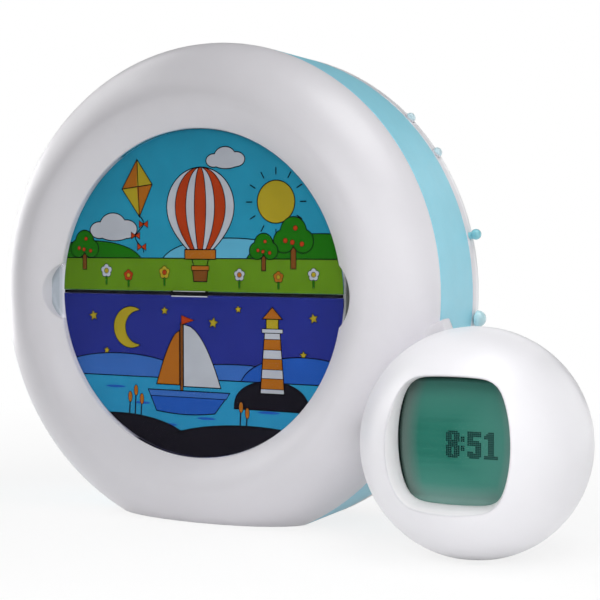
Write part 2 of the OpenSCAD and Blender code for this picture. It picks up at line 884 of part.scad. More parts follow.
module night_leds() {
    color("powderblue") led_row(-1);
}

// ---- Circuit boards and buttons ----

module main_board() {
    color("darkgreen") on_axis() difference() {
        translate([main_board_x, main_board_z, -main_board_back])
            rounded_plate(main_board_w, main_board_h, board_t, 2);
        stand_places() translate([0, 0, -main_board_back - 1]) cylinder(r = 1.6, h = board_t + 2);
    }
}

// Chip, capacitors, crystal and plug sockets on the main board.
module board_parts() {
    color("dimgray") on_axis()
        translate([main_board_x, main_board_z, -main_board_back + board_t]) {
            translate([-9, -6, 0]) cube([chip_w, chip_h, chip_t]);
            for (i = [0, 1]) translate([12 + i * capacitor_pitch, 8, 0])
                cylinder(r = capacitor_r, h = capacitor_l);
            translate([-18, -13, 0]) cube([crystal_w, crystal_h, crystal_t]);
            translate([8, -14, 0]) cube([lamp_socket_w, lamp_socket_h, socket_t]);
            translate([-8, 10, 0]) cube([key_socket_w, key_socket_h, socket_t]);
        }
}

module key_board() {
    color("darkgreen") on_axis() translate([0, 0, -key_board_front - board_t])
        rotate([0, 0, key_board_start]) rotate_extrude(angle = key_board_sweep)
            translate([key_board_in, 0]) square([key_board_w, board_t]);
}

module key_switches() {
    face = button_flange_out - button_flange_t - switch_gap - switch_nub_l;
    color("dimgray") on_axis() for (a = button_angles) rotate([0, 0, a]) {
        translate([face - switch_l, -switch_w / 2, -key_board_front])
            cube([switch_l, switch_w, switch_h - 0.6]);
        translate([face - 0.5, 0, -button_y]) rotate([0, 90, 0])
            cylinder(r = switch_nub_r, h = switch_nub_l + 0.5);
    }
}

// One push button: a round head outside the rim, a stem through it and a flange inside.
module push_button(i) {
    on_axis() rotate([0, 0, button_angles[i]]) translate([0, 0, -button_y]) rotate([0, 90, 0])
        rotate_extrude() polygon(button_outline(button_stems[i], button_heads[i], button_rises[i]));
}

module button_top() {
    color("white") push_button(0);
}

module button_upper() {
    color("white") push_button(1);
}

module button_middle() {
    color("lightblue") push_button(2);
}

module button_lower() {
    color("lightcyan") push_button(3);
}

// ---- Loudspeaker ----

module at_speaker() {
    on_axis() translate([speaker_x, speaker_z, -cover_inside + seat_gap]) children();
}

module speaker_frame() {
    hub = magnet_r - 2;
    color("silver") at_speaker() difference() {
        rotate_extrude() polygon([
            [speaker_r - 3, 0], [speaker_r, 0], [speaker_r, speaker_rim_t], [speaker_r - 2, speaker_rim_t],
            [hub + 1.6, speaker_depth - 1.2], [hub + 1.6, speaker_depth], [3, speaker_depth],
            [3, speaker_depth - 1.2], [hub, speaker_depth - 1.2], [speaker_r - 3, speaker_rim_t - 0.6]
        ]);
        for (a = [0:60:300]) rotate([0, 0, a + 30]) translate([hub + 6, 0, 1.8])
            cylinder(r = 2.2, h = speaker_depth);
    }
}

module speaker_cone() {
    color("black") at_speaker() {
        rotate_extrude() polygon([
            [speaker_r - 3.4, 0.3], [speaker_r - 3.4, 0.8], [5, speaker_depth - 3], [0, speaker_depth - 3],
            [0, speaker_depth - 3.6], [4.8, speaker_depth - 3.6], [speaker_r - 4.6, 0.3]
        ]);
        translate([0, 0, speaker_depth - 3.2]) cylinder(r = 2.6, h = 3);
    }
}

module speaker_magnet() {
    color("dimgray") at_speaker() translate([0, 0, speaker_depth + seat_gap])
        cylinder(r = magnet_r, h = magnet_t);
}

// ---- Batteries ----

module each_cell() {
    for (i = [0:cell_count - 1])
        translate([(i - (cell_count - 1) / 2) * cell_pitch, bay_z, -bay_floor - cell_d / 2 - seat_gap])
            rotate([-90, 0, i % 2 == 0 ? 0 : 180]) children();
}

module battery_cells() {
    color("goldenrod") on_axis() each_cell() translate([0, 0, -cell_l / 2]) {
        cylinder(r = cell_d / 2, h = cell_l);
        cylinder(r = nub_r, h = cell_l + nub_l);
    }
}

module battery_contacts() {
    coil_step = (contact_room - contact_t - 2 * seat_gap - 2 * spring_wire_r) / 3;
    color("silver") on_axis() each_cell() {
        translate([-contact_w / 2, -contact_w / 2, bay_h / 2 - seat_gap - contact_t])
            cube([contact_w, contact_w, contact_t]);
        translate([-contact_w / 2, -contact_w / 2, -bay_h / 2 + seat_gap])
            cube([contact_w, contact_w, contact_t]);
        for (i = [0:2]) translate([0, 0, -bay_h / 2 + seat_gap + contact_t + spring_wire_r + i * coil_step])
            rotate_extrude() translate([spring_r - i * spring_taper, 0]) circle(r = spring_wire_r, $fn = 24);
    }
}

module battery_door() {
    groove = 1.2;
    color("whitesmoke") on_axis() difference() {
        intersection() {
            door_outline(door_clearance, door_t - seat_gap);
            translate([-far / 2, -far / 2, -cover_back]) cube([far, far, far]);
        }
        for (i = [0:4]) translate([-10, bay_z + bay_h / 2 - 12 + i * 2.6, -cover_back - 1])
            cube([20, groove, 1.6]);
        translate([0, door_screw_z, -cover_back - 1]) cylinder(r = door_screw_r + 0.3, h = door_t + 2);
        translate([0, door_screw_z, -cover_back - 1]) cylinder(r = small_head_r + 0.3, h = 2);
    }
}

module battery_door_screw() {
    color("silver") on_axis() translate([0, door_screw_z, -cover_back + 1]) mirror([0, 0, 1])
        screw(door_screw_r, 6, small_head_r, 0.9);
}

// ---- Power inlet ----

module dc_jack() {
    color("black") on_axis() translate([jack_x, jack_z, -cover_back]) {
        difference() {
            union() {
                translate([0, 0, -jack_flange_t]) cylinder(r = jack_flange_r, h = jack_flange_t);
                cylinder(r = jack_r, h = jack_depth);
            }
            translate([0, 0, -jack_flange_t - 1]) cylinder(r = jack_hole_r, h = jack_hole_depth + 1);
        }
        cylinder(r = jack_pin_r, h = jack_hole_depth);
    }
}

module jack_nut() {
    color("silver") on_axis() translate([jack_x, jack_z, -cover_inside]) difference() {
        cylinder(r = jack_nut_r, h = jack_nut_t, $fn = 6);
        translate([0, 0, -1]) cylinder(r = jack_r + 0.05, h = jack_nut_t + 2);
    }
}

// ---- Swivel ----

module neck_arm() {
    color("white") at_ball() difference() {
        union() {
            along_bearing(arm_bearing) {
                cylinder(r = arm_r, h = arm_flange_at + arm_flange_t);
                translate([0, 0, arm_flange_at]) cylinder(r = arm_flange_r, h = arm_flange_t);
            }
            translate([0, 0, -hub_h / 2]) cylinder(r = hub_r, h = hub_h);
        }
        translate([0, 0, -hub_h]) cylinder(r = post_r + post_clearance, h = 2 * hub_h);
        along_bearing(arm_bearing) {
            translate([0, 0, hub_r + cable_notch_at]) cylinder(r = arm_bore_d / 2, h = far / 4);
            for (z = [-1, 1]) translate([z * arm_screw_z, 0, arm_flange_at - 1])
                cylinder(r = arm_screw_r + 0.2, h = arm_flange_t + 2);
        }
        along_bearing(arm_bearing) translate([0, -arm_bore_d / 2, hub_r + cable_notch_at])
            cube([arm_r + 1, arm_bore_d, arm_bore_d + 2]);
    }
}

module neck_arm_screws() {
    color("silver") at_ball() along_bearing(arm_bearing)
        for (z = [-1, 1]) translate([z * arm_screw_z, 0, arm_flange_at + arm_flange_t])
            screw(arm_screw_r, arm_flange_t + arm_screw_l - 1, 1.6, 1.2);
}

module neck_cable() {
    color("gray") at_ball() along_bearing(arm_bearing)
        translate([0, 0, hub_r + cable_notch_at + part_gap])
            cylinder(r = cable_r, h = arm_flange_at + arm_flange_t + cable_tail - hub_r - cable_notch_at);
}

module pivot_post() {
    color("silver") at_ball() translate([0, 0, -post_bottom])
        cylinder(r = post_r, h = post_top + post_bottom);
}

module pivot_washers() {
    color("dimgray") at_ball() for (side = [-1, 1])
        translate([0, 0, side * (hub_h / 2 + seat_gap + washer_t / 2) - washer_t / 2]) difference() {
            cylinder(r = boss_r, h = washer_t);
            translate([0, 0, -1]) cylinder(r = post_r + post_clearance, h = washer_t + 2);
        }
}

// ---- Ball shells ----

module ball_hollow() {
    difference() {
        sphere(ball_r);
        difference() {
            sphere(ball_inner_r);
            translate([-far / 2, -far / 2, -far - ball_z + ball_wall]) cube([far, far, far]);
        }
    }
}

// Everything in front of (side = -1) or behind (side = 1) the seam between the ball's shells.
module beyond_seam(side) {
    translate([-far / 2, side > 0 ? ball_seam : ball_seam - far, -ball_z]) cube([far, far, far]);
}

// The slot runs level around the ball's rear, as far as the arm swings.
module arm_slot() {
    rotate([0, 0, slot_start]) rotate_extrude(angle = slot_end - slot_start)
        translate([ball_inner_r - 4, -slot_half]) square([ball_wall + 8, 2 * slot_half]);
}

module window_prism(extra, from, to) {
    translate([0, -from, window_up]) rotate([90, 0, 0]) linear_extrude(to - from)
        polygon(bulged_square(window_w / 2 + extra, window_h / 2 + extra));
}

// The flare opens the window towards the ball's surface, faster and faster, to a soft round lip.
module window_flaring() {
    step = flare_depth / flare_steps;
    for (i = [0:flare_steps - 1]) {
        inner = window_flare * pow(i / flare_steps, 2);
        outer = window_flare * pow((i + 1) / flare_steps, 2);
        a = window_w / 2 + inner;
        b = window_h / 2 + inner;
        growth = [1 + (outer - inner) / a, 1 + (outer - inner) / b];
        translate([0, -display_out - i * step, window_up]) rotate([90, 0, 0])
            linear_extrude(step + flare_lap, scale = growth, slices = 1) polygon(bulged_square(a, b));
    }
}

module ball_screw_places() {
    for (x = [-1, 1]) for (z = [-1, 1])
        translate([x * ball_post_x, 0, z * ball_post_z]) rotate([90, 0, 0]) children();
}

module ball_front_shell() {
    color("white") in_ball() difference() {
        intersection() {
            beyond_seam(-1);
            union() {
                ball_hollow();
                intersection() {
                    sphere(ball_r - 0.5);
                    union() {
                        window_prism(tunnel_wall, display_out, ball_r);
                        ball_screw_places() translate([0, 0, -ball_seam])
                            cylinder(r = ball_post_r, h = ball_seam + ball_post_start);
                        translate([0, 0, boss_start]) cylinder(r = boss_r, h = ball_r);
                        translate([0, 0, -boss_start - ball_r]) cylinder(r = boss_r, h = ball_r);
                    }
                }
            }
        }
        window_prism(0, display_out - 1, ball_r + 1);
        window_flaring();
        arm_slot();
        translate([0, 0, -post_bottom]) cylinder(r = post_r + post_clearance, h = post_bottom + post_top);
        ball_screw_places() translate([0, 0, -ball_seam - 1]) cylinder(r = ball_screw_r + 0.05, h = 10);
    }
}

module ball_rear_shell() {
    color("white") in_ball() difference() {
        intersection() {
            beyond_seam(1);
            union() {
                ball_hollow();
                intersection() {
                    sphere(ball_r - 0.5);
                    ball_screw_places() translate([0, 0, -ball_r])
                        cylinder(r = ball_boss_r, h = ball_r - ball_seam - seat_gap);
                }
            }
        }
        arm_slot();
        ball_screw_places() {
            translate([0, 0, -ball_r]) cylinder(r = ball_screw_r + 0.2, h = ball_r);
            translate([0, 0, -ball_r]) cylinder(r = ball_head_r + 0.3, h = ball_r - ball_counterbore);
        }
    }
}

module ball_screws() {
    color("silver") in_ball() ball_screw_places() translate([0, 0, -ball_counterbore]) mirror([0, 0, 1])
        screw(ball_screw_r, ball_screw_l, ball_head_r, ball_head_t);
}

// ---- Display ----

// A flat piece of the display stack, whose face is that far in front of the ball's centre.
module display_plate(w, h, t, face) {
    in_ball() translate([-w / 2, -face, window_up - h / 2]) cube([w, t, h]);
}

module display_window() {
    color("lightgreen", 0.4) in_ball() window_prism(window_lap, window_face - window_t, window_face);
}

module lcd_panel() {
    color("seagreen") in_ball() window_prism(lcd_lap, lcd_face - lcd_t, lcd_face);
}

module lcd_backlight() {
    color("ivory") display_plate(backlight_w, backlight_h, backlight_t, backlight_face);
}

module clock_board() {
    color("darkgreen") display_plate(clock_board_w, clock_board_h, board_t, clock_board_face);
}

module clock_board_parts() {
    color("dimgray") in_ball() translate([0, board_t - clock_board_face, window_up]) {
        translate([2, 0, -12]) cube([clock_chip_w, clock_chip_t, clock_chip_w]);
        translate([3, 0, 8]) cube([clock_socket_w, clock_socket_t, clock_socket_h]);
    }
}

front_bezel();
mid_band();
rear_cover();
cover_screws();
foot_pads();
picture_lens();
day_picture();
night_picture();
divider_strip();
light_box();
light_box_screws();
led_board_day();
led_board_night();
day_leds();
night_leds();
main_board();
board_parts();
key_board();
key_switches();
button_top();
button_upper();
button_middle();
button_lower();
speaker_frame();
speaker_cone();
speaker_magnet();
battery_cells();
battery_contacts();
battery_door();
battery_door_screw();
dc_jack();
jack_nut();
neck_arm();
neck_arm_screws();
neck_cable();
ball_front_shell();
ball_rear_shell();
ball_screws();
pivot_post();
pivot_washers();
display_window();
lcd_panel();
lcd_backlight();
clock_board();
clock_board_parts();
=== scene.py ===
"""Looks of the children's alarm clock with night light, in metres, in the part's own frame."""
import json
import math

import bmesh
import bpy
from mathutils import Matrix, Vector
from mathutils.geometry import delaunay_2d_cdt


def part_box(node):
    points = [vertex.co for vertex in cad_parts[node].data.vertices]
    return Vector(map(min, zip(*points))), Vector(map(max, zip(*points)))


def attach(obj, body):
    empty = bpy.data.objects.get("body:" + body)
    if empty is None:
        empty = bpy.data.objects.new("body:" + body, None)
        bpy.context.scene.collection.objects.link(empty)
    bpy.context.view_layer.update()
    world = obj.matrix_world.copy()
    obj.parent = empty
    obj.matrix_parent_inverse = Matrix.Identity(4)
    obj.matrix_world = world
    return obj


MM = 0.001
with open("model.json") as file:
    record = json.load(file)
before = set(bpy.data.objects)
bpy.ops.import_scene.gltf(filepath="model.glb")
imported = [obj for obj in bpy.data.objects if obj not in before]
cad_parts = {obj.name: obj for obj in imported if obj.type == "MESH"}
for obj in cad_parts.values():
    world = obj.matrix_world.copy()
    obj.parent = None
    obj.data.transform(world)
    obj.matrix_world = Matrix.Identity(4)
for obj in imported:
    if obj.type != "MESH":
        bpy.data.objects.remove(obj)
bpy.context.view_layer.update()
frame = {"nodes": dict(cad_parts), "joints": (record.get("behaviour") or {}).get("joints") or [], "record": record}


# ---- Places that the CAD model gives ----

pivots = {joint["name"]: joint["pos_m"] for joint in frame["joints"] if joint["type"] == "hinge"}
BALL = Vector(pivots["ball_swivel"])
BALL_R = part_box("ball_front_shell")[1].z - BALL.z
lens_low, lens_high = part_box("picture_lens")
AXIS_H = (lens_low.z + lens_high.z) / 2
RIM_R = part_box("front_bezel")[1].z - AXIS_H
BAND_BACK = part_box("mid_band")[1].y
film_low, film_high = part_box("day_picture")
FILM_FRONT = film_low.y
PICTURE_R = (film_high.x - film_low.x) / 2 / MM
DAY_BASE = (film_low.z - AXIS_H) / MM
lcd_low, lcd_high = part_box("lcd_panel")
DISPLAY_UP = ((lcd_low.z + lcd_high.z) / 2 - BALL.z) / MM


# ---- Camera ----

# Fitted to the outlines in the photograph. The lens and its sensor are in mm.
AIM = Vector((37, 0, 81)) * MM
CAMERA_DISTANCE = 538 * MM
CAMERA_AZIMUTH = math.radians(28.2)
CAMERA_ELEVATION = math.radians(2.3)
FOCAL_LENGTH = 90
SENSOR_WIDTH = 36
NEAREST_SEEN = 0.05
FARTHEST_SEEN = 50


def direction(azimuth, elevation):
    """Unit vector from the object towards a viewer at that azimuth and elevation."""
    level = math.cos(elevation)
    return Vector((math.sin(azimuth) * level, -math.cos(azimuth) * level, math.sin(elevation)))


def add_object(name, data):
    made = bpy.data.objects.new(name, data)
    bpy.context.scene.collection.objects.link(made)
    return made


def make_camera():
    data = bpy.data.cameras.new("camera")
    data.lens = FOCAL_LENGTH
    data.sensor_width = SENSOR_WIDTH
    data.clip_start = NEAREST_SEEN
    data.clip_end = FARTHEST_SEEN
    camera = add_object("camera", data)
    towards = direction(CAMERA_AZIMUTH, CAMERA_ELEVATION)
    camera.location = AIM + towards * CAMERA_DISTANCE
    camera.rotation_euler = (-towards).to_track_quat("-Z", "Y").to_euler()
    bpy.context.scene.camera = camera


make_camera()


# ---- Materials ----

def linear(r, g, b):
    """Linear colour of an sRGB colour given as 0 to 255."""
    def one(v):
        v /= 255
        return v / 12.92 if v <= 0.04045 else ((v + 0.055) / 1.055) ** 2.4
    return (one(r), one(g), one(b), 1.0)


def scaled(colour, factor):
    return tuple(min(1.0, c * factor) for c in colour[:3]) + (1.0,)


class Finish:
    """A node material around one Principled shader, with noise for its colour, roughness and bump."""

    def __init__(self, name):
        self.name = name
        self.material = bpy.data.materials.new(name)
        self.material.use_nodes = True
        self.tree = self.material.node_tree
        self.shader = self.tree.nodes["Principled BSDF"]
        self.output = self.tree.nodes["Material Output"]
        self.place = self.tree.nodes.new("ShaderNodeTexCoord").outputs["Object"]

    def node(self, kind, **settings):
        made = self.tree.nodes.new(kind)
        for name, value in settings.items():
            setattr(made, name, value)
        return made

    def link(self, source, target):
        self.tree.links.new(source, target)

    def coordinates(self, place=None):
        """The x, y and z of the place on the object, or of another vector."""
        split = self.node("ShaderNodeSeparateXYZ")
        self.link(place or self.place, split.inputs["Vector"])
        return split.outputs["X"], split.outputs["Y"], split.outputs["Z"]

    def noise(self, scale, detail=3.0, roughness=0.5, place=None):
        made = self.node("ShaderNodeTexNoise")
        made.inputs["Scale"].default_value = scale
        made.inputs["Detail"].default_value = detail
        made.inputs["Roughness"].default_value = roughness
        self.link(place or self.place, made.inputs["Vector"])
        return made.outputs["Fac"]

    def ramp(self, source, stops):
        made = self.node("ShaderNodeValToRGB")
        elements = made.color_ramp.elements
        while len(elements) < len(stops):
            elements.new(0.5)
        for element, (position, colour) in zip(elements, stops):
            element.position = position
            element.color = colour
        self.link(source, made.inputs["Fac"])
        return made.outputs["Color"]

    def math(self, operation, a, b=None):
        made = self.node("ShaderNodeMath", operation=operation)
        for socket, value in zip(made.inputs, (a, b)):
            if value is None:
                continue
            if isinstance(value, (int, float)):
                socket.default_value = value
            else:
                self.link(value, socket)
        return made.outputs["Value"]

    def mapped(self, source, low, high, start=0.3, end=0.7):
        """Low up to the start, and high from the end. Nearly all noise lies between 0.3 and 0.7."""
        made = self.node("ShaderNodeMapRange")
        made.inputs["From Min"].default_value = start
        made.inputs["From Max"].default_value = end
        made.inputs["To Min"].default_value = low
        made.inputs["To Max"].default_value = high
        self.link(source, made.inputs["Value"])
        return made.outputs["Result"]

    def fade(self, distance, most, near, far):
        """A share that is the most it can be up to the near distance, and nothing from the far one."""
        return self.mapped(distance, most, 0, near, far)

    def drift(self, base, spread, scale):
        """The base colour, a little darker in some places and lighter in others."""
        stops = [(0.3, scaled(base, 1 - spread)), (0.7, scaled(base, 1 + spread))]
        return self.ramp(self.noise(scale), stops)

    def blend(self, under, over, *shares):
        """The colour under, with the colour over it where the largest of the shares is 1."""
        share = shares[0]
        for other in shares[1:]:
            share = self.math("MAXIMUM", share, other)
        mix = self.node("ShaderNodeMix", data_type="RGBA")
        self.link(share, mix.inputs["Factor"])
        self.link(under, mix.inputs["A"])
        if isinstance(over, tuple):
            mix.inputs["B"].default_value = over
        else:
            self.link(over, mix.inputs["B"])
        return mix.outputs["Result"]

    def colour(self, base, spread=0.04, scale=60):
        self.link(self.drift(base, spread, scale), self.shader.inputs["Base Color"])

    def mix_in(self, colour, share):
        """That colour in place of the base colour where the share is 1."""
        base = self.shader.inputs["Base Color"]
        self.link(self.blend(base.links[0].from_socket, colour, share), base)

    def roughness(self, low, high, scale=300):
        self.link(self.mapped(self.noise(scale, 4), low, high), self.shader.inputs["Roughness"])

    def bump(self, height, scale, strength=0.3, detail=2.0, chained=None):
        """Fine relief of that height in metres, on top of the relief it is chained to."""
        made = self.node("ShaderNodeBump")
        made.inputs["Strength"].default_value = strength
        made.inputs["Distance"].default_value = height
        self.link(self.noise(scale, detail), made.inputs["Height"])
        if chained:
            self.link(chained, made.inputs["Normal"])
        self.link(made.outputs["Normal"], self.shader.inputs["Normal"])
        return made.outputs["Normal"]

    def soften_edges(self, radius):
        """Light rolls over the moulded edges as over small rounds."""
        bevel = self.node("ShaderNodeBevel", samples=8)
        bevel.inputs["Radius"].default_value = radius
        for node in self.tree.nodes:
            if node.bl_idname == "ShaderNodeBump" and not node.inputs["Normal"].is_linked:
                self.link(bevel.outputs["Normal"], node.inputs["Normal"])

    def fixed(self, **values):
        """Values that are the same all over, such as Coat_Weight=0.3."""
        for name, value in values.items():
            self.shader.inputs[name.replace("_", " ")].default_value = value

    def show(self, share, other):
        """The other shader in place of the Principled one where the share is 1."""
        mix = self.node("ShaderNodeMixShader")
        self.link(share, mix.inputs["Fac"])
        self.link(self.shader.outputs["BSDF"], mix.inputs[1])
        self.link(other, mix.inputs[2])
        self.link(mix.outputs["Shader"], self.output.inputs["Surface"])


def plastic(name, base, low, high, spread=0.03, grain=1800, grain_height=0.02 * MM, **fixed):
    """Moulded plastic: slow colour drift, uneven gloss, and a fine moulded grain over slight sink marks."""
    made = Finish(name)
    made.colour(base, spread)
    made.roughness(low, high)
    sink = made.bump(0.2 * MM, 25, strength=0.08)
    made.bump(grain_height, grain, strength=0.25, chained=sink)
    made.fixed(**fixed)
    return made


def metal(name, base, low, high, scale=900):
    """Brushed or rolled metal: small patches of other gloss, with hardly any relief."""
    made = Finish(name)
    made.colour(base, 0.06, 200)
    made.roughness(low, high, scale)
    made.bump(0.02 * MM, scale, strength=0.2)
    made.fixed(Metallic=1.0)
    return made


def clear_plastic(name, tint, low, high):
    """Thin clear plastic with an anti-glare skin, which lets the lamps' light through to what lies behind."""
    made = Finish(name)
    made.colour(tint, 0.01)
    made.roughness(low, high)
    made.bump(0.01 * MM, 40, strength=0.1)
    made.fixed(IOR=1.06, Transmission_Weight=1.0)
    through = made.node("ShaderNodeBsdfTransparent")
    through.inputs["Color"].default_value = scaled(tint, 0.97)
    made.show(made.node("ShaderNodeLightPath").outputs["Is Shadow Ray"], through.outputs["BSDF"])
    return made


WHITE = linear(237, 235, 240)
# Painted light: lighter copies of the drum's white for the ball, the rear cover, the flare and two buttons.
PAINTED_LIT_BALL = linear(247, 246, 250)
PAINTED_LIT_COVER = linear(250, 250, 253)
PAINTED_LIT_FLARE = linear(254, 250, 253)
PAINTED_LIT_BUTTONS = linear(214, 238, 245)
BLUE = linear(155, 225, 244)
DEEP_BLUE = linear(145, 216, 228)
PALE_BLUE = linear(204, 240, 247)
# Painted shade seen through the lens's ears, lighter on the left ear and darker on the right one.
LEFT_EAR_PAINTED_SHADE = linear(206, 213, 216)
RIGHT_EAR_PAINTED_SHADE = linear(120, 124, 118)

# The buttons reach no further in front of the band's back than this.
BUTTONS_REACH = 6 * MM
# The ears of the lens start this far from its middle.
EARS_FROM = 60.3 * MM
EDGE_ROUND = 1.2 * MM


def paint_light_on_whites(made):
    """Painted light: lighter whites on the rear cover, two buttons, the ball and the flare round its window."""
    x, y, z = made.coordinates()
    from_ball = made.node("ShaderNodeVectorMath", operation="DISTANCE")
    made.link(made.place, from_ball.inputs[0])
    from_ball.inputs[1].default_value = BALL
    away = from_ball.outputs["Value"]
    rise = made.math("SUBTRACT", z, AXIS_H)
    square = made.math("ADD", made.math("MULTIPLY", rise, rise), made.math("MULTIPLY", x, x))
    beyond_rim = made.math("GREATER_THAN", square, (RIM_R + 0.1 * MM) ** 2)
    at_buttons = made.math("GREATER_THAN", y, BAND_BACK - BUTTONS_REACH)
    # Painted light: each lighter white replaces the drum's white on its own part.
    shares = (
        (PAINTED_LIT_COVER, made.mapped(y, 0, 1, BAND_BACK, BAND_BACK + 0.1 * MM)),
        (PAINTED_LIT_BUTTONS, made.math("MULTIPLY", at_buttons, beyond_rim)),
        (PAINTED_LIT_BALL, made.fade(away, 1, BALL_R, BALL_R + 0.2 * MM)),
        (PAINTED_LIT_FLARE, made.fade(away, 1, BALL_R - 0.6 * MM, BALL_R - 0.3 * MM)),
    )
    for colour, share in shares:
        made.mix_in(made.drift(colour, 0.01, 60), share)


def paint_ear_shade(made):
    """Painted shade: the two ears of the lens are tinted grey, lighter on the left ear and darker on the right."""
    x = made.coordinates()[0]
    rightwards = made.mapped(x, 0, 1, -EARS_FROM, EARS_FROM)
    ear_shades = made.ramp(rightwards, [(0.0, LEFT_EAR_PAINTED_SHADE), (1.0, RIGHT_EAR_PAINTED_SHADE)])
    made.mix_in(ear_shades, made.mapped(made.math("ABSOLUTE", x), 0, 1, EARS_FROM, EARS_FROM + 0.5 * MM))


def shell_finish():
    """White mouldings of the drum, the ball and two buttons, with softly rounded edges."""
    made = plastic("white_shell", WHITE, 0.34, 0.42, spread=0.012, Coat_Weight=0.15, Coat_Roughness=0.25)
    # Painted light on the ball, the rear cover, the flare and two buttons.
    paint_light_on_whites(made)
    made.soften_edges(EDGE_ROUND)
    return made


def lens_finish():
    made = clear_plastic("clear_lens", linear(240, 241, 243), 0.02, 0.06)
    # Painted shade on the lens's ears.
    paint_ear_shade(made)
    return made


# ---- Display panel ----

# The display's plane is turned a little about the upright line through the ball. Its sizes are in mm:
# how far the plane lies from the ball's centre, and half the size that the bezel leaves open. Its
# bulge and arch are the shares of it that the sides and the top and bottom draw in towards the corners.
DISPLAY_TURN = math.radians(5)
DISPLAY_FACE = 21.1
DISPLAY_HALF_W = 19.4
DISPLAY_HALF_H = 20.2
DISPLAY_BULGE = 0.21
DISPLAY_ARCH = 0.04
STREAK_SCALE = 260
STREAK_STRETCH = (0.12, 1, 4)


def lcd_finish():
    """Green reflector behind liquid crystal: greyer towards the edges, and dark where the bezel shades it."""
    made = Finish("lcd_green")
    turn = made.node("ShaderNodeVectorRotate", rotation_type="Z_AXIS")
    turn.inputs["Center"].default_value = BALL
    turn.inputs["Angle"].default_value = -DISPLAY_TURN
    made.link(made.place, turn.inputs["Vector"])
    turned = turn.outputs["Vector"]
    across, _, up = made.coordinates(turned)
    x = made.math("DIVIDE", made.math("SUBTRACT", across, BALL.x), MM)
    z = made.math("DIVIDE", made.math("SUBTRACT", up, BALL.z), MM)
    z = made.math("SUBTRACT", z, DISPLAY_UP)

    def reach(along, half_along, half, bulge):
        """Half the open size at that place along the other direction."""
        share = made.math("DIVIDE", along, half_along)
        drawn_in = made.math("MULTIPLY", made.math("MULTIPLY", share, share), -bulge * half)
        return made.math("ADD", drawn_in, half)

    half_w = reach(z, DISPLAY_HALF_H, DISPLAY_HALF_W, DISPLAY_BULGE)
    half_h = reach(x, DISPLAY_HALF_W, DISPLAY_HALF_H, DISPLAY_ARCH)
    left = made.math("ADD", half_w, x)
    right = made.math("SUBTRACT", half_w, x)
    top = made.math("SUBTRACT", half_h, z)
    bottom = made.math("ADD", z, half_h)

    # Faint level streaks of the reflector.
    stretch = made.node("ShaderNodeVectorMath", operation="MULTIPLY")
    made.link(turned, stretch.inputs[0])
    stretch.inputs[1].default_value = STREAK_STRETCH
    streaks = made.noise(STREAK_SCALE, place=stretch.outputs["Vector"])
    shade = made.ramp(streaks, [(0.3, linear(40, 93, 87)), (0.7, linear(45, 102, 94))])

    # Each blend fades out between two distances from an edge, in mm. The widest one comes first.
    shade = made.blend(shade, linear(80, 123, 118), made.fade(top, 0.9, 0.5, 16),
                       made.fade(bottom, 0.9, 2, 15), made.fade(right, 0.9, 3, 22))
    shade = made.blend(shade, linear(114, 126, 128), made.fade(bottom, 0.85, 1.6, 6.4),
                       made.fade(right, 0.6, 2.6, 4.6))
    shade = made.blend(shade, linear(106, 106, 108), made.fade(left, 0.85, 2.4, 6.6))
    shade = made.blend(shade, linear(126, 141, 142), made.fade(bottom, 0.8, 0.9, 2.2))
    shade = made.blend(shade, linear(22, 30, 30), made.fade(left, 1, 0.3, 1.4),
                       made.fade(top, 1, 0.4, 2.0))
    made.link(shade, made.shader.inputs["Base Color"])
    made.roughness(0.5, 0.62)
    made.bump(0.01 * MM, 2500, strength=0.2)
    made.fixed(Specular_IOR_Level=0.05)
    return made


# ---- Finishes of the slots ----

finishes = [
    shell_finish(),
    lens_finish(),
    lcd_finish(),
    plastic("blue_band", BLUE, 0.42, 0.5, spread=0.025),
    plastic("blue_button", DEEP_BLUE, 0.22, 0.3, Coat_Weight=0.3, Coat_Roughness=0.1),
    plastic("pale_button", PALE_BLUE, 0.2, 0.28, Coat_Weight=0.3, Coat_Roughness=0.1),
    plastic("reflector_white", linear(235, 235, 230), 0.55, 0.7),
    plastic("day_print", linear(35, 140, 172), 0.4, 0.5, spread=0.05),
    plastic("night_print", linear(38, 40, 130), 0.4, 0.5, spread=0.05),
    plastic("black_plastic", linear(12, 12, 14), 0.45, 0.6, spread=0.15, Specular_IOR_Level=0.1),
    plastic("circuit_board", linear(30, 105, 55), 0.35, 0.5, spread=0.15, grain=700),
    plastic("lamp_resin", linear(240, 236, 214), 0.12, 0.2, Coat_Weight=0.5),
    plastic("pad_rubber", linear(70, 70, 72), 0.75, 0.9, spread=0.1, grain=900, grain_height=0.05 * MM),
    plastic("cable_sheath", linear(90, 90, 92), 0.5, 0.65, spread=0.08),
    plastic("speaker_paper", linear(28, 27, 26), 0.85, 0.95, spread=0.2, grain=1200,
            grain_height=0.06 * MM),
    plastic("cell_wrap", linear(196, 150, 62), 0.25, 0.35, spread=0.08),
    metal("steel", linear(198, 199, 202), 0.25, 0.4),
    clear_plastic("display_clear", linear(235, 250, 244), 0.02, 0.05),
]
slot_materials = {finish.name: finish.material for finish in finishes}
for part in frame["record"]["subparts"]:
    mesh = frame["nodes"][part["node"]].data
    mesh.materials.clear()
    mesh.materials.append(slot_materials[part["material_slot"]])


# ---- Making pieces ----

def mesh_piece(name, mesh, *materials):
    """A piece of that bmesh, which is used up."""
    data = bpy.data.meshes.new(name)
    mesh.to_mesh(data)
    mesh.free()
    for material in materials:
        data.materials.append(material)
    return add_object(name, data)


def thicken(piece, thickness):
    solid = piece.modifiers.new("thickness", "SOLIDIFY")
    solid.thickness = thickness


# ---- Outlines for the printed pictures, in mm from the drum's axis ----

def around(count, start=0):
    """That many angles in radians, evenly spread over one turn from the start, which is in degrees."""
    return [math.radians(start) + 2 * math.pi * i / count for i in range(count)]


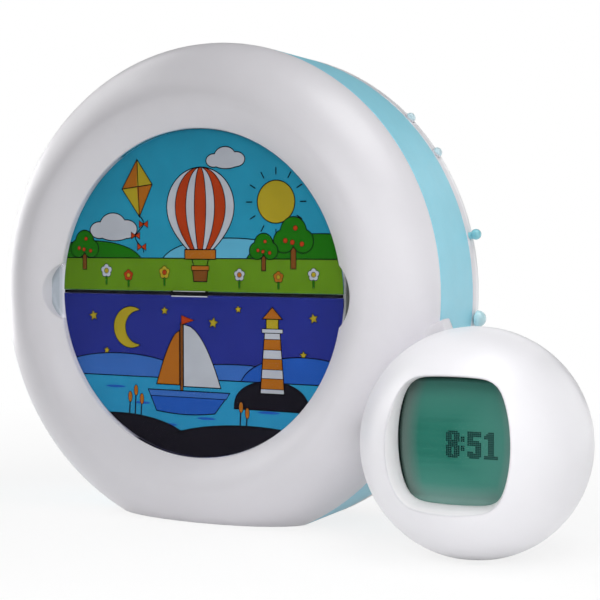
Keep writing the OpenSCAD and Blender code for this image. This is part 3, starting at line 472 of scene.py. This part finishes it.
def arc(x, z, r, degrees):
    return [(x + r * math.cos(math.radians(a)), z + r * math.sin(math.radians(a))) for a in degrees]


def oval(x, z, rx, rz=None, count=40):
    rz = rx if rz is None else rz
    return [(x + rx * math.cos(a), z + rz * math.sin(a)) for a in around(count)]


def star(x, z, r, tilt, inner=0.45):
    """A star of five tips, turned by tilt degrees. Inner is the share of its radius between the tips."""
    points = []
    for i, a in enumerate(around(10, 90 + tilt)):
        reach = r if i % 2 == 0 else r * inner
        points.append((x + reach * math.cos(a), z + reach * math.sin(a)))
    return points


def bar(x0, z0, x1, z1, width):
    """A straight stroke of that width."""
    length = math.hypot(x1 - x0, z1 - z0)
    nx, nz = -(z1 - z0) / length * width / 2, (x1 - x0) / length * width / 2
    return [(x0 + nx, z0 + nz), (x0 - nx, z0 - nz), (x1 - nx, z1 - nz), (x1 + nx, z1 + nz)]


def hill(x, half, base, top, steps=28):
    """A rounded hill that rises from base to top."""
    rise = top - base
    angles = [math.pi * i / steps for i in range(steps + 1)]
    return [(x + half * math.cos(a), base + rise * math.sin(a) ** 0.8) for a in angles]


def block(x0, z0, x1, z1):
    return [(x0, z0), (x1, z0), (x1, z1), (x0, z1)]


def cloud(x, z, s):
    """Four ovals that make one cloud of size s."""
    return [oval(x, z, 7 * s, 5.4 * s), oval(x - 7.5 * s, z - 2.2 * s, 5 * s, 3.6 * s),
            oval(x + 7.5 * s, z - 1.8 * s, 5.6 * s, 4 * s), oval(x + s, z - 3.4 * s, 9 * s, 3.4 * s)]


def tree_crown(x, z, s):
    """Three ovals that make the round crown of a tree of size s."""
    return [oval(x, z + 5 * s, 5 * s), oval(x - 3.8 * s, z + 1.6 * s, 4 * s),
            oval(x + 3.8 * s, z + 1.6 * s, 4 * s)]


def balloon_bag(x, z, r, share, narrowing=0.42, lengthening=1.28):
    """Outline of a hot-air balloon's bag, or of the gore that spans that share of its width."""
    points = []
    for a in around(48):
        c, s = math.cos(a), math.sin(a)
        if s > 0:
            points.append((x + share * r * c, z + r * s))
        else:
            points.append((x + share * r * c * (1 - narrowing * s * s), z + lengthening * r * s))
    return points


def crescent(x, z, r, bite_x, bite_r):
    """A moon with a round bite out of its right side."""
    return arc(x, z, r, range(60, 301, 8)) + arc(bite_x, z, bite_r, range(265, 94, -9))


def half_disc(side, inset=0.05, steps=90):
    """Border of the upper (side 1) or lower (side -1) half of the round picture."""
    r = PICTURE_R - inset
    start = math.asin((DAY_BASE + inset) / r)
    angles = [start + (math.pi - 2 * start) * i / steps for i in range(steps + 1)]
    return [(r * math.cos(a), side * r * math.sin(a)) for a in angles]


def anticlockwise(points):
    area = sum(a[0] * b[1] - b[0] * a[1] for a, b in zip(points, points[1:] + points[:1]))
    return points if area > 0 else points[::-1]


# Where an outline nearly turns back it grows from one side alone, and a sharp corner is cut short.
NEARLY_BACK = 0.2
SHARPEST = 0.45


def grown(points, width):
    """The outline moved outwards by width."""
    points = anticlockwise(points)
    moved = []
    for before, here, after in zip(points[-1:] + points[:-1], points, points[1:] + points[:1]):
        first = Vector((here[0] - before[0], here[1] - before[1])).normalized()
        second = Vector((after[0] - here[0], after[1] - here[1])).normalized()
        normal = Vector((first.y + second.y, -first.x - second.x))
        outwards = Vector((first.y, -first.x))
        if normal.length < NEARLY_BACK:
            normal = outwards.copy()
        normal.normalize()
        reach = width / max(SHARPEST, normal.dot(outwards))
        moved.append((here[0] + normal.x * reach, here[1] + normal.y * reach))
    return moved


# ---- Printed pictures ----

INKS = {
    "line": (10, 10, 14), "sky": (36, 126, 152), "grass": (84, 121, 24), "bush": (26, 96, 14),
    "orange": (150, 88, 26), "red": (152, 52, 21), "yellow": (150, 134, 34), "white": (162, 165, 170),
    "indigo": (35, 43, 117), "slate": (50, 91, 156), "blue": (31, 75, 152), "turquoise": (38, 124, 160),
    "night": (22, 20, 27), "bark": (106, 62, 25), "pale_sky": (80, 148, 172),
}
INK_NAMES = list(INKS)
OUTLINE = 0.42
PRINT_T = 0.03 * MM
PRINT_GAP = 0.01 * MM
# For cutting a picture into its areas: what lies inside the outlines is kept, points this close in mm
# are one, and faces of one ink that meet at less than this angle, in radians, are joined.
KEEP_INSIDE = 1
SAME_POINT = 1e-5
FLAT_ANGLE = 0.001


def ink_material(name):
    """Translucent printing ink: faint streaks of the print, with a satin surface."""
    made = Finish("ink_" + name)
    made.colour(linear(*INKS[name]), 0.05, 120)
    made.roughness(0.42, 0.52)
    made.bump(0.005 * MM, 3000, strength=0.2)
    made.fixed(Specular_IOR_Level=0.02)
    return made.material


ink_materials = [ink_material(name) for name in INK_NAMES]


class Picture:
    """A flat picture cut into areas of one ink each, where later shapes cover earlier ones."""

    def __init__(self, ink, border):
        self.layers = [(ink, anticlockwise(border))]

    def fill(self, ink, points):
        self.layers.append((ink, anticlockwise(points)))

    def draw(self, ink, *shapes, line=OUTLINE):
        """Shapes of one ink with one dark outline round all of them."""
        for points in shapes:
            self.fill("line", grown(points, line))
        for points in shapes:
            self.fill(ink, points)

    def build(self, name, y):
        """One thin sheet of ink whose back lies at that y."""
        points, faces = [], []
        for _, outline in self.layers:
            faces.append(list(range(len(points), len(points) + len(outline))))
            points += [Vector(p) for p in outline]
        # Origins says which of the outlines each cell lies in. The first of them is the border.
        verts, _, cells, _, _, origins = delaunay_2d_cdt(points, [], faces, KEEP_INSIDE, SAME_POINT)
        mesh = bmesh.new()
        corners = [mesh.verts.new((p.x * MM, y - PRINT_T, p.y * MM + AXIS_H)) for p in verts]
        for cell, origin in zip(cells, origins):
            if 0 not in origin:
                continue
            face = mesh.faces.new([corners[i] for i in cell])
            face.material_index = INK_NAMES.index(self.layers[max(origin)][0])
        bmesh.ops.delete(mesh, geom=[v for v in mesh.verts if not v.link_faces], context="VERTS")
        bmesh.ops.dissolve_limit(mesh, angle_limit=FLAT_ANGLE, verts=mesh.verts[:], edges=mesh.edges[:],
                                 delimit={"MATERIAL"})
        bmesh.ops.triangulate(mesh, faces=mesh.faces[:])
        for face in mesh.faces:
            face.normal_update()
            if face.normal.y > 0:
                face.normal_flip()
        piece = mesh_piece(name, mesh, *ink_materials)
        thicken(piece, PRINT_T)
        return piece


def draw_flower(picture, x, z, s, petals, heart):
    """A flower of size s on its stem, with five petals of one ink and a heart of another."""
    picture.draw("bush", bar(x, z - 4.6 * s, x, z, 0.5), line=0.2)
    ring = [oval(x + 1.25 * s * math.cos(a), z + 1.25 * s * math.sin(a), 0.95 * s, count=16)
            for a in around(5, 18)]
    picture.draw(petals, *ring, line=0.25)
    picture.draw(heart, oval(x, z, 0.8 * s, count=16), line=0.2)


def draw_sun(picture, x, z, r):
    """A plain sun with twelve short rays."""
    for a in around(12):
        c, s = math.cos(a), math.sin(a)
        near, far = r + 2.2, r + 4.8
        picture.fill("line", bar(x + near * c, z + near * s, x + far * c, z + far * s, 0.5))
    picture.draw("yellow", oval(x, z, r))


def draw_tree(picture, x, z, s):
    """A round tree with four apples."""
    picture.draw("bark", block(x - 0.9 * s, z - 8 * s, x + 0.9 * s, z), line=0.35)
    picture.draw("bush", *tree_crown(x, z, s))
    for dx, dz in ((-3.2, 1.8), (0.8, 6.2), (3.4, 0.6), (-0.4, 1.2)):
        picture.draw("red", oval(x + dx * s, z + dz * s, 0.85 * s, count=16), line=0.2)


def draw_kite(picture):
    """A kite with a bowed tail."""
    kite = [(-26, 49), (-19.5, 40), (-25, 28.5), (-32.5, 38.5)]
    crossing = (-26.1, 39.2)
    picture.draw("orange", kite)
    picture.fill("yellow", [kite[0], kite[1], crossing])
    picture.fill("yellow", [kite[2], kite[3], crossing])
    picture.fill("line", bar(*kite[0], *kite[2], 0.4))
    picture.fill("line", bar(*kite[1], *kite[3], 0.4))
    tail = [(kite[2][0] + 1.9 * math.sin(i * 0.62), kite[2][1] - i * 1.05) for i in range(14)]
    for (x0, z0), (x1, z1) in zip(tail, tail[1:]):
        picture.fill("line", bar(x0, z0, x1, z1, 0.45))
    for x, z in tail[3::4]:
        for side in (-1.8, 1.8):
            picture.draw("red", [(x, z), (x + side, z + 1.1), (x + side, z - 1.1)], line=0.25)


def draw_balloon(picture, x, z, r):
    """A hot-air balloon with red and white gores and a basket."""
    for rope in (-2.6, 2.6):
        picture.fill("line", bar(x + 1.75 * rope, z - 15.6, x + rope, 9.4, 0.45))
    picture.draw("white", balloon_bag(x, z, r, 1))
    for share, ink in ((0.74, "red"), (0.42, "white"), (0.16, "red")):
        picture.draw(ink, balloon_bag(x, z, r, share), line=0.36)
    picture.draw("orange", block(x - 6.4, z - 18.8, x + 6.4, z - 15.7))
    picture.draw("bark", [(x - 3.2, 9.6), (x - 2.6, 4.6), (x + 2.6, 4.6), (x + 3.2, 9.6)])
    picture.draw("orange", block(x - 3.6, 8.6, x + 3.6, 10), line=0.3)


def day_picture():
    """Sun, balloon and kite over a meadow with trees and flowers."""
    picture = Picture("sky", half_disc(1))
    draw_sun(picture, 33, 33, 7.4)
    picture.draw("white", *cloud(-37, 25, 0.82))
    picture.draw("white", *cloud(12, 49.5, 0.62))
    picture.draw("pale_sky", hill(14, 30, 8, 20))
    picture.draw("bush", hill(-47, 24, 8, 19))
    picture.draw("bush", hill(50, 30, 8, 21.5))
    picture.draw("grass", block(-70, -5, 70, 12.6))
    for x, z, s in ((40, 17.5, 1.0), (28, 14.5, 0.72), (-50, 15, 0.8)):
        draw_tree(picture, x, z, s)
    draw_kite(picture)
    draw_balloon(picture, 1.5, 31.5, 14.2)
    flowers = (
        (-40, 8, 1.1, "white", "yellow"), (-30, 6.4, 0.9, "red", "yellow"),
        (-14, 7.6, 1.05, "yellow", "red"), (18, 7, 1.0, "white", "orange"),
        (34, 6.4, 0.9, "orange", "yellow"), (48, 7.4, 1.0, "white", "yellow"),
    )
    for flower in flowers:
        draw_flower(picture, *flower)
    return picture


def draw_lighthouse(picture):
    """A striped lighthouse on its rock."""
    picture.draw("night", hill(31, 15, -41, -31))
    foot, top = -35, -12.5
    foot_left, foot_right = 26.8, 36.2
    top_left, top_right = 28.6, 34.4
    picture.draw("white", [(foot_left, foot), (foot_right, foot), (top_right, top), (top_left, top)])
    lean = (top_left - foot_left) / (top - foot)
    stripe = 3.5
    for low in (-33.4, -26.4, -19.4):
        left = foot_left + (low - foot) * lean
        right = foot_left + foot_right - left
        draw_in = stripe * lean
        corners = [(left, low), (right, low), (right - draw_in, low + stripe), (left + draw_in, low + stripe)]
        picture.draw("orange", corners, line=0.26)
    picture.draw("yellow", block(29.2, -12.4, 33.8, -8.6))
    picture.draw("orange", [(27.8, -8.4), (35.2, -8.4), (31.5, -4.6)])
    picture.draw("white", block(27.4, -13.4, 35.6, -12.2), line=0.3)


def sail(x, z, width, height, width_power, height_power):
    """The head and the bowed free edge of a sail. A negative width is one to the left of the mast."""
    shares = [i / 10 for i in range(11)]
    return [(x + width * share ** width_power, z - height * share ** height_power) for share in shares]


def draw_boat(picture):
    """A sailing boat with a pennant at its masthead."""
    picture.draw("bark", bar(-6.6, -38, -6.6, -11, 0.9), line=0.3)
    picture.draw("white", sail(-5.6, -11.6, 15.5, 22.4, 0.75, 1.5) + [(-5.6, -34)])
    picture.draw("orange", sail(-7.7, -14, -9.6, 19.5, 0.85, 1.35) + [(-7.7, -33.5)])
    bow, stern = (-21, -36), (13.5, -36)
    keel = [(-17.5 + 25 * i / 10, -43.4 - 0.9 * math.sin(math.pi * i / 10)) for i in range(11)]
    picture.draw("blue", [bow] + keel + [stern])
    picture.draw("slate", [bow, (-20.2, -38), (12.4, -38), stern], line=0.3)
    picture.draw("red", [(-6.6, -8.2), (-6.6, -11.4), (-1.4, -9.8)], line=0.28)


def night_picture():
    """Moon, stars, lighthouse and sailing boat over a lake with a dark shore."""
    picture = Picture("indigo", half_disc(-1))
    stars = ((-46, -9, 1.9, 10), (-14, -6.5, 1.5, 0), (7, -10.5, 2.0, -8), (17.5, -5.4, 1.3, 5),
             (48, -8, 1.7, 12), (-40, -22, 1.3, -5), (44, -21, 1.4, 0))
    for x, z, r, tilt in stars:
        picture.draw("yellow", star(x, z, r, tilt), line=0.28)
    picture.draw("yellow", crescent(-29, -13, 7.6, -25.2, 6.4), line=0.34)
    picture.draw("slate", hill(-34, 30, -34, -23))
    picture.draw("slate", hill(16, 30, -34, -25.5))
    picture.draw("blue", hill(44, 26, -36, -22))
    picture.draw("turquoise", block(-70, -70, 70, -31.5))
    ripples = ((-36, -35.4, 9), (-24, -41, 7), (20, -36.6, 8), (30, -42, 9), (4, -45.5, 8), (-12, -48.5, 7))
    for x, z, width in ripples:
        picture.fill("blue", oval(x, z, width / 2, 0.5, count=20))
    draw_lighthouse(picture)
    draw_boat(picture)
    picture.draw("night", hill(-34, 34, -62, -45.5))
    picture.draw("night", hill(22, 46, -66, -47.5))
    reeds = ((-30, -47, 8), (-27.4, -47, 10.5), (-24.8, -47, 7.4), (18, -49, 8.4), (20.6, -49, 6.4))
    for x, base, height in reeds:
        picture.fill("night", bar(x, base - 2, x + 0.6, base + height, 0.6))
        picture.draw("orange", oval(x + 0.6, base + height, 0.75, 1.9, count=20), line=0.25)
    return picture


for make, name, slot in ((day_picture, "day_print_inks", "day_print"),
                         (night_picture, "night_print_inks", "night_print")):
    sheet = make().build(name, FILM_FRONT - PRINT_GAP)
    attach(sheet, "drum")


# ---- Painted highlights on the finger tab ----

TAB_HIGHLIGHT_INSET = 0.1
# Painted highlight: a pale matt finish for the glints along the tab's edges.
tab_highlight_finish = plastic("painted_tab_highlight", linear(214, 218, 222), 0.5, 0.6)


def tab_highlight_strip(name, z, thickness, length):
    """Painted highlight: thin pale strip along the lens's finger tab, just inside its front. Its sizes are in mm.
    """
    mesh = bmesh.new()
    rings = []
    for side in (-1, 1):
        ring = []
        for a in around(12):
            inwards = TAB_HIGHLIGHT_INSET + thickness * (1 - math.cos(a)) / 2
            rise = z + thickness * math.sin(a) / 2
            place = (side * length / 2 * MM, lens_low.y + inwards * MM, AXIS_H + rise * MM)
            ring.append(mesh.verts.new(place))
        rings.append(ring)
    near, far = rings
    for i in range(len(near)):
        after = (i + 1) % len(near)
        mesh.faces.new([near[i], far[i], far[after], near[after]])
    mesh.faces.new(near)
    mesh.faces.new(far[::-1])
    bmesh.ops.recalc_face_normals(mesh, faces=mesh.faces[:])
    piece = mesh_piece(name, mesh, tab_highlight_finish.material)
    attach(piece, "lens")


# Painted highlights along the lower and upper edges of the tab.
tab_highlight_strip("tab_lower_highlight", -0.85, 0.4, 15.2)
tab_highlight_strip("tab_upper_highlight", 0.95, 0.22, 13.6)


# ---- Time on the display ----

GLYPHS = {
    "8": [".#####.", "#######", "###.###", "###.###", "###.###", "#######", ".#####.", ".#####.",
          "#######", "###.###", "###.###", "###.###", "###.###", "#######", ".#####."],
    "5": ["#######", "#######", "#######", "###....", "###....", "######.", "#######", "#######",
          "....###", "....###", "....###", "###.###", "#######", "#######", ".#####."],
    "1": ["..###..", ".####..", "#####..", "#####..", "..###..", "..###..", "..###..", "..###..",
          "..###..", "..###..", "..###..", "..###..", "..###..", "#######", "#######"],
    ":": ["..", "..", "..", "##", "##", "##", "..", "..", "##", "##", "##", "..", "..", "..", ".."],
}
# In mm, on the display's plane, from the line through the ball's centre.
DOT_W, DOT_H = 0.65, 0.57
DOT_GAP = 0.11
DOT_T = 0.01 * MM
DOTS_OUT = DISPLAY_FACE + 0.02
DIGITS_TOP = 6.3
DIGIT_LEFTS = (("8", -3.55), (":", 1.3), ("5", 3.45), ("1", 8.85))


def on_display(x, z):
    """A place on the dots' plane, which is turned as the display is."""
    c, s = math.cos(DISPLAY_TURN), math.sin(DISPLAY_TURN)
    return BALL + Vector((x * c + DOTS_OUT * s, x * s - DOTS_OUT * c, z)) * MM


def display_dots():
    """The time in small dark cells, as a dot-matrix display shows it."""
    mesh = bmesh.new()
    for glyph, left in DIGIT_LEFTS:
        for row, cells in enumerate(GLYPHS[glyph]):
            for column, cell in enumerate(cells):
                if cell != "#":
                    continue
                x0 = left + column * DOT_W
                z1 = DIGITS_TOP - row * DOT_H
                dot = block(x0, z1 - DOT_H + DOT_GAP, x0 + DOT_W - DOT_GAP, z1)
                mesh.faces.new([mesh.verts.new(on_display(x, z)) for x, z in dot])
    ink = plastic("liquid_crystal_dark", linear(12, 22, 30), 0.5, 0.6, spread=0.12, Specular_IOR_Level=0.05)
    piece = mesh_piece("display_dots", mesh, ink.material)
    thicken(piece, DOT_T)
    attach(piece, "ball")


display_dots()


# ---- Floor, backdrop and light ----

FLOOR_HALF = 12
FLOOR_DROP = 0.2 * MM
# The share by which the floor shines near the object and further off, where it fades to white, and
# how far from the middle that changes, in metres.
NEAR_GLOW, FAR_GLOW = 0.12, 0.4
GLOW_FROM, GLOW_TO = 0.82, 1.0
PLAIN_WHITE = (1, 1, 1, 1)
WORLD_LIGHT = 0.03

# Each lamp's place and aim in mm, its side in metres and its power in watts.
LAMPS = {
    "left": ((-1301, -359, 881), (37, 0, 81), 0.9, 6.3),
    "right": ((1580, -414, 165), (37, 0, 81), 0.9, 3.3),
    "low_left": ((-579, 155, 114), (0, 0, 83), 0.35, 1.25),
    "upper_left": ((-475, 127, 427), (0, 0, 83), 0.35, 0.67),
    "back_right": ((385, 459, 114), (0, 0, 83), 0.35, 0.5),
    "upper_right": ((200, -50, 400), (80, 0, 100), 0.22, 0.58),
    "above_front": ((120, -280, 200), (120, -280, 0), 0.22, 0.41),
    "above_right": ((300, -200, 200), (300, -200, 0), 0.22, 0.37),
    "above_back": ((50, 300, 200), (50, 300, 0), 0.22, 0.21),
}


def make_floor():
    """A large pale floor that keeps the object's shadow and shows white further off."""
    data = bpy.data.meshes.new("floor")
    corners = [(x, y, 0) for x, y in block(-FLOOR_HALF, -FLOOR_HALF, FLOOR_HALF, FLOOR_HALF)]
    data.from_pydata(corners, [], [(0, 1, 2, 3)])
    floor = add_object("floor", data)
    floor.location.z = -FLOOR_DROP
    made = Finish("floor")
    made.fixed(Roughness=0.8)
    made.colour(linear(250, 250, 250), 0.004, 4)
    glow = made.node("ShaderNodeEmission")
    glow.inputs["Color"].default_value = PLAIN_WHITE
    path = made.node("ShaderNodeLightPath")
    seen = made.math("MAXIMUM", path.outputs["Is Camera Ray"], path.outputs["Is Glossy Ray"])
    seen = made.math("MAXIMUM", seen, path.outputs["Is Transmission Ray"])
    far = made.node("ShaderNodeVectorMath", operation="LENGTH")
    made.link(made.place, far.inputs[0])
    growing = made.mapped(far.outputs["Value"], GLOW_FROM, GLOW_TO, NEAR_GLOW, FAR_GLOW)
    made.show(made.math("MULTIPLY", seen, growing), glow.outputs["Emission"])
    data.materials.append(made.material)


def make_world():
    """A white backdrop for the camera and clear plastic, which hardly lights the object."""
    world = bpy.data.worlds.new("studio")
    bpy.context.scene.world = world
    world.use_nodes = True
    tree = world.node_tree
    back = tree.nodes["Background"]
    path = tree.nodes.new("ShaderNodeLightPath")
    seen = tree.nodes.new("ShaderNodeMath")
    seen.operation = "MAXIMUM"
    tree.links.new(path.outputs["Is Camera Ray"], seen.inputs[0])
    tree.links.new(path.outputs["Is Transmission Ray"], seen.inputs[1])
    strength = tree.nodes.new("ShaderNodeMapRange")
    strength.inputs["To Min"].default_value = WORLD_LIGHT
    strength.inputs["To Max"].default_value = 1.0
    tree.links.new(seen.outputs["Value"], strength.inputs["Value"])
    tree.links.new(strength.outputs["Result"], back.inputs["Strength"])
    back.inputs["Color"].default_value = PLAIN_WHITE


def softbox(name, place, aim, size, power):
    """A square lamp that faces the place it is aimed at."""
    data = bpy.data.lights.new(name, "AREA")
    data.shape = "SQUARE"
    data.size = size
    data.energy = power
    made = add_object(name, data)
    made.location = Vector(place) * MM
    made.rotation_euler = (Vector(place) - Vector(aim)).to_track_quat("Z", "Y").to_euler()
    made.visible_camera = False


bpy.context.scene.view_settings.view_transform = "Standard"
make_floor()
make_world()
for name, settings in LAMPS.items():
    softbox(name, *settings)
